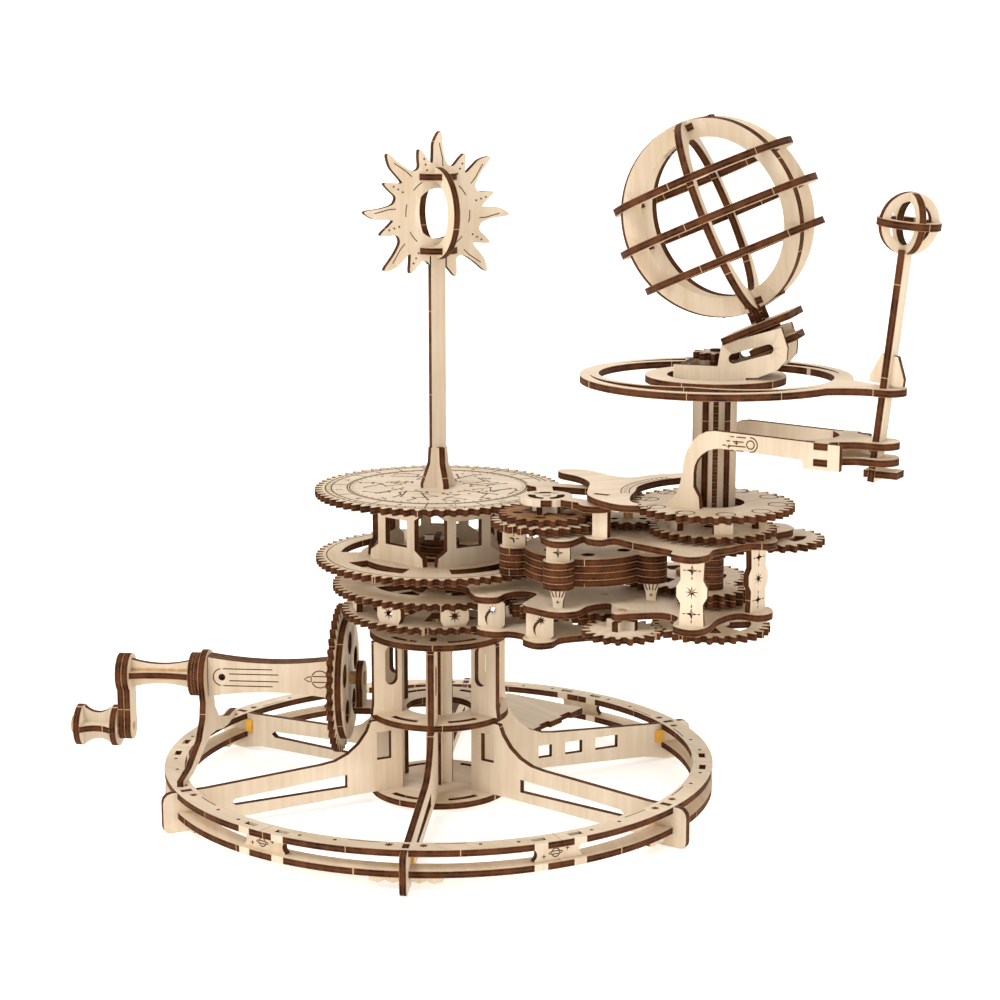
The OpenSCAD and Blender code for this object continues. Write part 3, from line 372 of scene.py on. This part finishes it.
def lineTree():
    sockets = [("Line Width", "Float"), ("Depth", "Float"), ("Material", "Material")]
    tree, inputs, output = newTree("engravedLines", sockets)
    path = addNode(tree, "GeometryNodeMeshToCurve", {"Mesh": inputs.outputs[0]})
    upright = addNode(tree, "GeometryNodeSetCurveNormal", {"Curve": path.outputs[0]})
    upright.mode = "Z_UP"
    cutShape = addNode(tree, "GeometryNodeCurvePrimitiveQuadrilateral",
                       {"Width": inputs.outputs["Line Width"], "Height": inputs.outputs["Depth"]})
    groove = addNode(tree, "GeometryNodeCurveToMesh",
                     {"Curve": upright.outputs[0], "Profile Curve": cutShape.outputs[0], "Fill Caps": True})
    return finishTree(tree, inputs, output, groove.outputs[0])


def tickTree():
    sockets = [("Count", "Int"), ("Radius", "Float"), ("Length", "Float"), ("Line Width", "Float"),
               ("Depth", "Float"), ("Material", "Material")]
    tree, inputs, output = newTree("engravedTicks", sockets)
    ring = addNode(tree, "GeometryNodeMeshCircle",
                   {"Vertices": inputs.outputs["Count"], "Radius": inputs.outputs["Radius"]})
    sides = {k: inputs.outputs[label] for k, label in enumerate(("Length", "Line Width", "Depth"))}
    size = addNode(tree, "ShaderNodeCombineXYZ", sides)
    mark = addNode(tree, "GeometryNodeMeshCube", {"Size": size.outputs[0]})
    place = addNode(tree, "GeometryNodeInputPosition")
    turn = addNode(tree, "FunctionNodeAlignRotationToVector", {"Vector": place.outputs[0]},
                   axis="X", pivot_axis="Z")
    marks = addNode(tree, "GeometryNodeInstanceOnPoints",
                    {"Points": ring.outputs[0], "Instance": mark.outputs[0], "Rotation": turn.outputs[0]})
    return finishTree(tree, inputs, output, marks.outputs[0])


def dotTree():
    sockets = [("Radius", "Float"), ("Depth", "Float"), ("Material", "Material")]
    tree, inputs, output = newTree("engravedDots", sockets)
    mark = addNode(tree, "GeometryNodeMeshCylinder",
                   {"Vertices": 10, "Radius": inputs.outputs["Radius"], "Depth": inputs.outputs["Depth"]})
    marks = addNode(tree, "GeometryNodeInstanceOnPoints",
                    {"Points": inputs.outputs[0], "Instance": mark.outputs[0]})
    return finishTree(tree, inputs, output, marks.outputs[0])


trees = {"lines": lineTree(), "ticks": tickTree(), "dots": dotTree()}


def runTree(kind, verts, edges, values, place, body):
    base = bpy.data.meshes.new("base")
    base.from_pydata([(x * mm, y * mm, 0) for x, y in verts], edges, [])
    holder = bpy.data.objects.new("base", base)
    bpy.context.scene.collection.objects.link(holder)
    modifier = holder.modifiers.new("nodes", "NODES")
    modifier.node_group = trees[kind]
    for item in trees[kind].interface.items_tree:
        if item.in_out == "INPUT" and item.name in values:
            modifier[item.identifier] = values[item.name]
    made = bpy.data.meshes.new_from_object(holder.evaluated_get(bpy.context.evaluated_depsgraph_get()))
    bpy.data.objects.remove(holder)
    made.transform(place)
    engraved.setdefault(body, []).append(made)


def faceFrame(origin, normal, right):
    n = Vector(normal).normalized()
    r = (Vector(right) - n * n.dot(Vector(right))).normalized()
    u = n.cross(r)
    frameMatrix = Matrix((r, u, n)).transposed().to_4x4()
    frameMatrix.translation = Vector(origin)
    return frameMatrix


def lines(strokes, place, body, width=1.0):
    verts, edges = [], []
    for stroke in strokes:
        edges += [(len(verts) + k, len(verts) + k + 1) for k in range(len(stroke) - 1)]
        verts += stroke
    values = {"Line Width": lineWork["width"] * width * mm, "Depth": lineWork["depth"] * mm,
              "Material": burnFinish}
    runTree("lines", verts, edges, values, place, body)


def ticks(count, radius, length, place, body, width=1.0):
    values = {"Count": count, "Radius": radius * mm, "Length": length * mm,
              "Line Width": lineWork["width"] * width * mm, "Depth": lineWork["depth"] * mm,
              "Material": burnFinish}
    runTree("ticks", [(0, 0)], [], values, place, body)


def dots(points, place, body, size=1.0):
    values = {"Radius": lineWork["dot"] * size * mm, "Depth": lineWork["depth"] * mm, "Material": burnFinish}
    runTree("dots", points, [], values, place, body)


def patches(outlines, place, body):
    bm = bmesh.new()
    half = lineWork["depth"] * mm / 2
    for outline in outlines:
        rows = [[bm.verts.new((x * mm, y * mm, z)) for x, y in outline] for z in (-half, half)]
        bm.faces.new(rows[1])
        bm.faces.new(rows[0][::-1])
        for k in range(len(outline)):
            n = (k + 1) % len(outline)
            bm.faces.new((rows[0][k], rows[0][n], rows[1][n], rows[1][k]))
    made = bpy.data.meshes.new("patches")
    bm.to_mesh(made)
    bm.free()
    made.materials.append(burnFinish)
    made.transform(place)
    engraved.setdefault(body, []).append(made)


def polar(radius, degrees, centre=(0, 0)):
    a = math.radians(degrees)
    return (centre[0] + radius * math.cos(a), centre[1] + radius * math.sin(a))


def arc(radius, start, end, centre=(0, 0)):
    steps = max(6, int(abs(end - start) * radius / 90) + 6)
    return [polar(radius, start + (end - start) * k / steps, centre) for k in range(steps + 1)]


def starStroke(centre, radius, inner=0.28, points=4):
    reach = (radius, radius * inner)
    return [polar(reach[k % 2], 90 + 180 / points * k, centre) for k in range(2 * points + 1)]


def number(value, size, place, body):
    text = bpy.data.curves.new("number", "FONT")
    text.body = str(value)
    text.size = size * mm
    text.align_x = "CENTER"
    text.align_y = "CENTER"
    text.extrude = lineWork["depth"] * mm / 2
    text.resolution_u = 2
    holder = bpy.data.objects.new("number", text)
    bpy.context.scene.collection.objects.link(holder)
    made = bpy.data.meshes.new_from_object(holder.evaluated_get(bpy.context.evaluated_depsgraph_get()))
    bpy.data.objects.remove(holder)
    made.materials.clear()
    made.materials.append(burnFinish)
    made.transform(place)
    engraved.setdefault(body, []).append(made)


jointOf = {joint["name"]: joint for joint in frame["joints"]}
earthPlace = Vector(jointOf["moon_orbit"]["pos_m"])
armTurn = math.atan2(earthPlace.y, earthPlace.x)
armAlong = Vector((math.cos(armTurn), math.sin(armTurn), 0))
armAcross = Vector((-math.sin(armTurn), math.cos(armTurn), 0))
up = Vector((0, 0, 1))


def armPoint(x, y, z):
    return armAlong * x * mm + armAcross * y * mm + up * z


# ticks: how many, radius, length and width of each row
starChart = {
    "rings": (50.4, 47.8, 40.7, 39.6), "bandRing": 44.25, "numberSize": 4.2,
    "ticks": ((72, 49.1, 1.6, 0.8), (12, 44.25, 6.2, 0.9), (60, 38.2, 1.3, 0.7)),
    "inner": 12.0, "outer": 36.5, "figures": 13, "loose": 24, "seed": 7,
}


def engraveStarChart(s):
    place = faceFrame((0, 0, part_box("zodiac_disc")[1].z), up, (1, 0, 0))
    lines([arc(r, 0, 360) for r in s["rings"]], place, "root")
    for count, radius, length, width in s["ticks"]:
        ticks(count, radius, length, place, "root", width)
    for k in range(12):
        turn = 15 + 30 * k
        x, y = polar(s["bandRing"], turn)
        upright = Matrix.Rotation(math.radians(turn - 90), 4, "Z")
        spot = place @ Matrix.Translation((x * mm, y * mm, 0)) @ upright
        number(k + 1, s["numberSize"], spot, "root")
    chance = random.Random(s["seed"])
    strokes, stars = [], []
    for k in range(s["figures"]):
        step = 360 / s["figures"]
        radius = chance.uniform(s["inner"] + 1, s["inner"] + 6)
        figure = [polar(radius, step * (k + chance.uniform(0.1, 0.4)))]
        for turn in range(chance.randint(5, 7)):
            radius = min(s["outer"], radius + chance.uniform(0.5, 6.0))
            figure.append(polar(radius, step * (k + chance.uniform(0.05, 0.95))))
        strokes.append(figure)
        branch = polar(min(s["outer"], radius * 0.9), step * (k + chance.uniform(0.7, 0.95)))
        strokes.append([figure[2], branch])
        stars += figure + [branch]
    for k in range(s["loose"]):
        stars.append(polar(chance.uniform(s["inner"], s["outer"]), chance.uniform(0, 360)))
    lines(strokes, place, "root", 1.15)
    dots(stars, place, "root", 1.1)


crankShaft = {
    "holeInset": 6.4, "headRadius": 4.0, "tails": ((4.0, 0.5, 23.5), (1.6, 3.4, 26.3)),
    "planet": 45.4, "planetRadius": 4.0,
}


def planetStrokes(x, y, r):
    tip = ((1.0, 0.30), (1.35, 0.26), (1.82, 0), (1.35, -0.26), (1.0, -0.30), (1.0, 0.30))
    tips = [[(x + side * r * u, y + r * v) for u, v in tip] for side in (-1, 1)]
    chords = [[(x - r * 0.84, y + v * r), (x + r * 0.84, y + v * r)] for v in (0.34, -0.34)]
    return tips + chords + [arc(r, 24, 156, (x, y)), arc(r, 204, 336, (x, y))]


def engraveCrank(s):
    low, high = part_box("crank_inner_shaft")
    height = jointOf["crank_turn"]["pos_m"][2]
    for y, side in ((low.y, -1), (high.y, 1)):
        place = faceFrame((low.x + s["holeInset"] * mm, y, height), (0, side, 0), (1, 0, 0))
        strokes = [arc(s["headRadius"], 98, 262)]
        for level, start, end in s["tails"]:
            strokes += [[(start, level), (end, level)], [(start, -level), (end, -level)]]
        lines(strokes + planetStrokes(s["planet"], 0, s["planetRadius"]), place, "crank", 0.85)


comet = {"x": 24.0, "height": 28.6, "head": 1.7, "faceY": 17.5}


def engraveArch(s):
    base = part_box("moon_gear_high")[1].z
    for side in (-1, 1):
        origin = armPoint(earthPlace.xy.length / mm + s["x"], side * s["faceY"], base + s["height"] * mm)
        place = faceFrame(origin, armAcross * side, armAlong)
        r = s["head"]
        strokes = [arc(r, 0, 360), arc(r * 1.75, -95, 95)]
        for k, v in enumerate((1.6, 0.5, -0.6, -1.7)):
            strokes.append([(-r * 1.2 - k % 2, v * r), (-r * (3.6 + k % 3), v * r)])
            strokes.append([(-r * (4.3 + k % 3), v * r), (-r * (5.2 + k % 3), v * r)])
        lines(strokes, place, "moon_carrier", 0.85)
        stars = [starStroke((-6.2, 0.2), 1.3)[:-1], starStroke((-9.6, -1.4), 1.1)[:-1]]
        patches(stars, place, "moon_carrier")


phases = {"count": 10, "ring": 26.8, "radius": 3.9}


def engravePhases(s):
    place = faceFrame((earthPlace.x, earthPlace.y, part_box("moon_gear_high")[1].z), up, armAlong)
    strokes = []
    for k in range(s["count"]):
        turn = 18 + 360 / s["count"] * k
        centre = polar(s["ring"], turn)
        strokes.append(arc(s["radius"], 0, 360, centre))
        bulge = math.cos(math.radians(180 * k / (s["count"] - 1)))
        strokes.append([(centre[0] + s["radius"] * bulge * math.cos(math.radians(t)),
                         centre[1] + s["radius"] * math.sin(math.radians(t))) for t in range(-90, 91, 15)])
    lines(strokes, place, "moon_carrier", 0.95)


scale = {"rings": (35.0, 38.4), "from": 146, "to": 214, "step": 4}


def engraveScale(s):
    place = faceFrame((earthPlace.x, earthPlace.y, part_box("arm_plate_f")[1].z), up, armAlong)
    strokes = [arc(r, s["from"], s["to"]) for r in s["rings"]]
    for turn in range(s["from"] + 2, s["to"], s["step"]):
        strokes.append([polar(s["rings"][0] + 0.9, turn), polar(s["rings"][1] - 0.9, turn)])
    lines(strokes, place, "arm", 0.75)


# each mark on the base ring: radius and degrees to either side of a leg
rims = {"gearLine": 50.3, "star": (119.6, 3.4), "starSize": 2.1, "line": (117.4, 5.5, 12),
        "dots": ((119.4, 14.5), (120.4, 22))}


def engraveRims(s):
    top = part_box("fixed_gear")[1].z
    lines([arc(s["gearLine"], 0, 360)], faceFrame((0, 0, top), up, (1, 0, 0)), "root", 0.8)
    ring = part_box("ring_upper")[1].z
    place = faceFrame((0, 0, ring), up, (1, 0, 0))
    strokes, points, stars = [], [], []
    starRing, starTurn = s["star"]
    lineRing, lineStart, lineEnd = s["line"]
    for leg in range(30, 390, 60):
        for side in (-1, 1):
            stars.append(starStroke(polar(starRing, leg + side * starTurn), s["starSize"], 0.5, 8)[:-1])
            strokes.append(arc(lineRing, leg + side * lineStart, leg + side * lineEnd))
            points += [polar(radius, leg + side * turn) for radius, turn in s["dots"]]
    lines(strokes, place, "root", 0.8)
    patches(stars, place, "root")
    dots(points, place, "root", 1.3)


connectors = {"planet": -1.2, "planetRadius": 1.8, "stars": ((4.2, 1.2), (-6.6, -1.1)), "starSize": 1.2}


def engraveConnectors(s):
    low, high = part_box("ring_connectors")
    middle = (low.z + high.z) / 2
    radius = high.x
    for k in range(6):
        out = Vector((math.cos(math.radians(60 * k)), math.sin(math.radians(60 * k)), 0))
        place = faceFrame(out * radius + up * middle, out, up.cross(out))
        lines(planetStrokes(s["planet"], 0, s["planetRadius"]), place, "root", 0.8)
        patches([starStroke(spot, s["starSize"])[:-1] for spot in s["stars"]], place, "root")


# places in the arm's own directions, and how far each post is turned from the arm
posts = {
    "ovals": ((45.5, -29.5), (72.5, -35)), "tall": ((143.4, -35.8, 15), (155.6, -0.7, 75)), "turn": 25,
    "flared": ((82.24, -36.83), (110.0, -5.46)), "flaredTurn": 20,
    "tail": [(-0.9, 5.6), (-2.2, 4.4), (-2.9, 2.6), (-2.6, 0.6), (-1.4, -1.2),
             (-1.9, 0.8), (-1.7, 2.6), (-1.0, 4.0), (0.1, 5.0)],
}


def postFace(x, y, z, turn):
    a = armTurn + math.radians(turn)
    outward = Vector((math.sin(a), -math.cos(a), 0))
    along = Vector((math.cos(a), math.sin(a), 0))
    return faceFrame(armPoint(x, y, z) + outward * boards["ply"] / 2, outward, along)


def engravePosts(s):
    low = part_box("arm_plate_a")[1].z
    for x, y in s["ovals"]:
        patches([s["tail"]], postFace(x, y, low + 2.2 * mm, s["turn"]), "arm")
    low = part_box("arm_plate_b")[1].z
    for x, y, turn in s["tall"]:
        place = postFace(x, y, low, turn)
        strokes = []
        for k in (0, 2):
            z = 5 + 9 * k
            strokes += [[(-3.6, z), (-2.6, z)], [(2.6, z), (3.6, z)], [(0, z + 2.6), (0, z + 3.8)],
                        [(0, z - 2.6), (0, z - 3.8)]]
        lines(strokes, place, "arm", 0.8)
    tall = (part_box("gearbox_stack")[0].z - low) / mm
    for x, y in s["flared"]:
        place = postFace(x, y, low, s["flaredTurn"])
        rays = [[(v * 1.6, tall * 0.55), (v * 2.9, tall * 0.93)] for v in (-1, -0.35, 0.35, 1)]
        lines(rays, place, "arm", 0.9)
        patches([starStroke((0, tall * 0.3), 1.1)[:-1]], place, "arm")


# free: the flame that the post takes the place of
sunFace = {"height": 0.265, "turn": 33, "count": 8, "free": 4, "inner": 15.6,
           "curl": ((20.5, -7), (24, -5.5), (27.5, -3), (30.5, -1.5)),
           "dots": (19.5, 22, 24.5), "dotTurn": 15.5}


def engraveSun(s):
    a = math.radians(s["turn"])
    for side in (1, -1):
        outward = Vector((math.sin(a), -math.cos(a), 0)) * side
        along = Vector((math.cos(a), math.sin(a), 0)) * side
        place = faceFrame(up * s["height"] + outward * boards["ply"] / 2, outward, along)
        strokes, points = [], []
        for k in range(s["count"]):
            if k == s["free"]:
                continue
            turn = side * (90 + 360 / s["count"] * k) + (0 if side > 0 else 180)
            strokes.append([polar(r, turn + side * q) for r, q in s["curl"]])
            strokes.append(arc(s["inner"], turn - side * 16, turn + side * 4))
            points += [polar(r, turn + side * s["dotTurn"]) for r in s["dots"]]
        lines(strokes, place, bodyOf["sun_flames"], 0.75)
        dots(points, place, bodyOf["sun_flames"], 0.7)


engraveStarChart(starChart)
engravePosts(posts)
engraveSun(sunFace)
engraveCrank(crankShaft)
engraveArch(comet)
engravePhases(phases)
engraveScale(scale)
engraveRims(rims)
engraveConnectors(connectors)
for body, meshes in engraved.items():
    bm = bmesh.new()
    for mesh in meshes:
        bm.from_mesh(mesh)
    bmesh.ops.remove_doubles(bm, verts=bm.verts, dist=1e-7)
    bmesh.ops.recalc_face_normals(bm, faces=bm.faces)
    joined = bpy.data.meshes.new("engraving_" + body)
    bm.to_mesh(joined)
    bm.free()
    joined.materials.append(burnFinish)
    for polygon in joined.polygons:
        polygon.material_index = 0
    piece = bpy.data.objects.new("engraving_" + body, joined)
    bpy.context.scene.collection.objects.link(piece)
    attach(piece, body)
print("stage 4: engraving done")


# floor, lights and camera
stage = {"flat": 1.5, "reach": 2.9, "rise": 1.3, "steps": 24, "ring": 96, "colour": (0.90, 0.885, 0.86, 1),
         "glow": 0.52, "glowColour": (1.0, 1.0, 1.0, 1)}


def makeStage(s):
    profile = [(s["flat"] * k / 3, 0.0) for k in range(4)]
    for k in range(1, s["steps"] + 1):
        a = math.pi / 2 * k / s["steps"]
        profile.append((s["flat"] + (s["reach"] - s["flat"]) * math.sin(a), s["rise"] * (1 - math.cos(a))))
    verts = [(0, 0, 0)]
    turns = [math.tau * i / s["ring"] for i in range(s["ring"])]
    for r, z in profile[1:]:
        verts += [(r * math.cos(a), r * math.sin(a), z) for a in turns]
    faces = [(0, 1 + i, 1 + (i + 1) % s["ring"]) for i in range(s["ring"])]
    for row in range(len(profile) - 2):
        a = 1 + row * s["ring"]
        b = a + s["ring"]
        for i in range(s["ring"]):
            n = (i + 1) % s["ring"]
            faces.append((a + i, b + i, b + n, a + n))
    mesh = bpy.data.meshes.new("studioFloor")
    mesh.from_pydata(verts, [], faces)
    mesh.shade_smooth()
    floor = bpy.data.objects.new("studioFloor", mesh)
    floor.location.z = -0.0002
    bpy.context.scene.collection.objects.link(floor)
    material, tree, shader = newMaterial("paleFloor")
    shader.inputs["Base Color"].default_value = s["colour"]
    shader.inputs["Roughness"].default_value = 0.9
    shader.inputs["Emission Color"].default_value = s["glowColour"]
    shader.inputs["Emission Strength"].default_value = s["glow"]
    mesh.materials.append(material)


lights = {
    "key": {"place": (-0.9, -1.2, 2.0), "size": 1.1, "power": 33, "colour": (1.0, 0.985, 0.96)},
    "fill": {"place": (1.6, -1.2, 0.9), "size": 1.6, "power": 6, "colour": (0.97, 0.985, 1.0)},
    "back": {"place": (0.3, 1.6, 1.6), "size": 1.4, "power": 14, "colour": (1.0, 0.99, 0.97)},
}
world = {"colour": (1.0, 0.89, 0.77, 1), "strength": 0.48}
aim = Vector((0, 0, 0.14))       # the lights point here


def addLights():
    for name, s in lights.items():
        light = bpy.data.lights.new(name, "AREA")
        light.energy = s["power"]
        light.size = s["size"]
        light.color = s["colour"]
        lamp = bpy.data.objects.new(name, light)
        lamp.location = s["place"]
        lamp.rotation_euler = (aim - lamp.location).to_track_quat("-Z", "Y").to_euler()
        bpy.context.scene.collection.objects.link(lamp)
    sky = bpy.data.worlds.new("softWorld")
    sky.use_nodes = True
    sky.node_tree.nodes["Background"].inputs[0].default_value = world["colour"]
    sky.node_tree.nodes["Background"].inputs[1].default_value = world["strength"]
    bpy.context.scene.world = sky


view = {"place": (0.1088, -0.9400, 0.3244), "heading": 94.92, "down": 11.2, "lens": 77.3}


def addCamera(s):
    camera = bpy.data.cameras.new("camera")
    camera.lens = s["lens"]
    camera.sensor_width = 36
    holder = bpy.data.objects.new("camera", camera)
    holder.location = s["place"]
    holder.rotation_euler = (math.radians(90 - s["down"]), 0, math.radians(s["heading"] - 90))
    bpy.context.scene.collection.objects.link(holder)
    bpy.context.scene.camera = holder


makeStage(stage)
addLights()
addCamera(view)
bpy.context.scene.view_settings.view_transform = "Standard"
print("stage 5: floor, lights and camera")
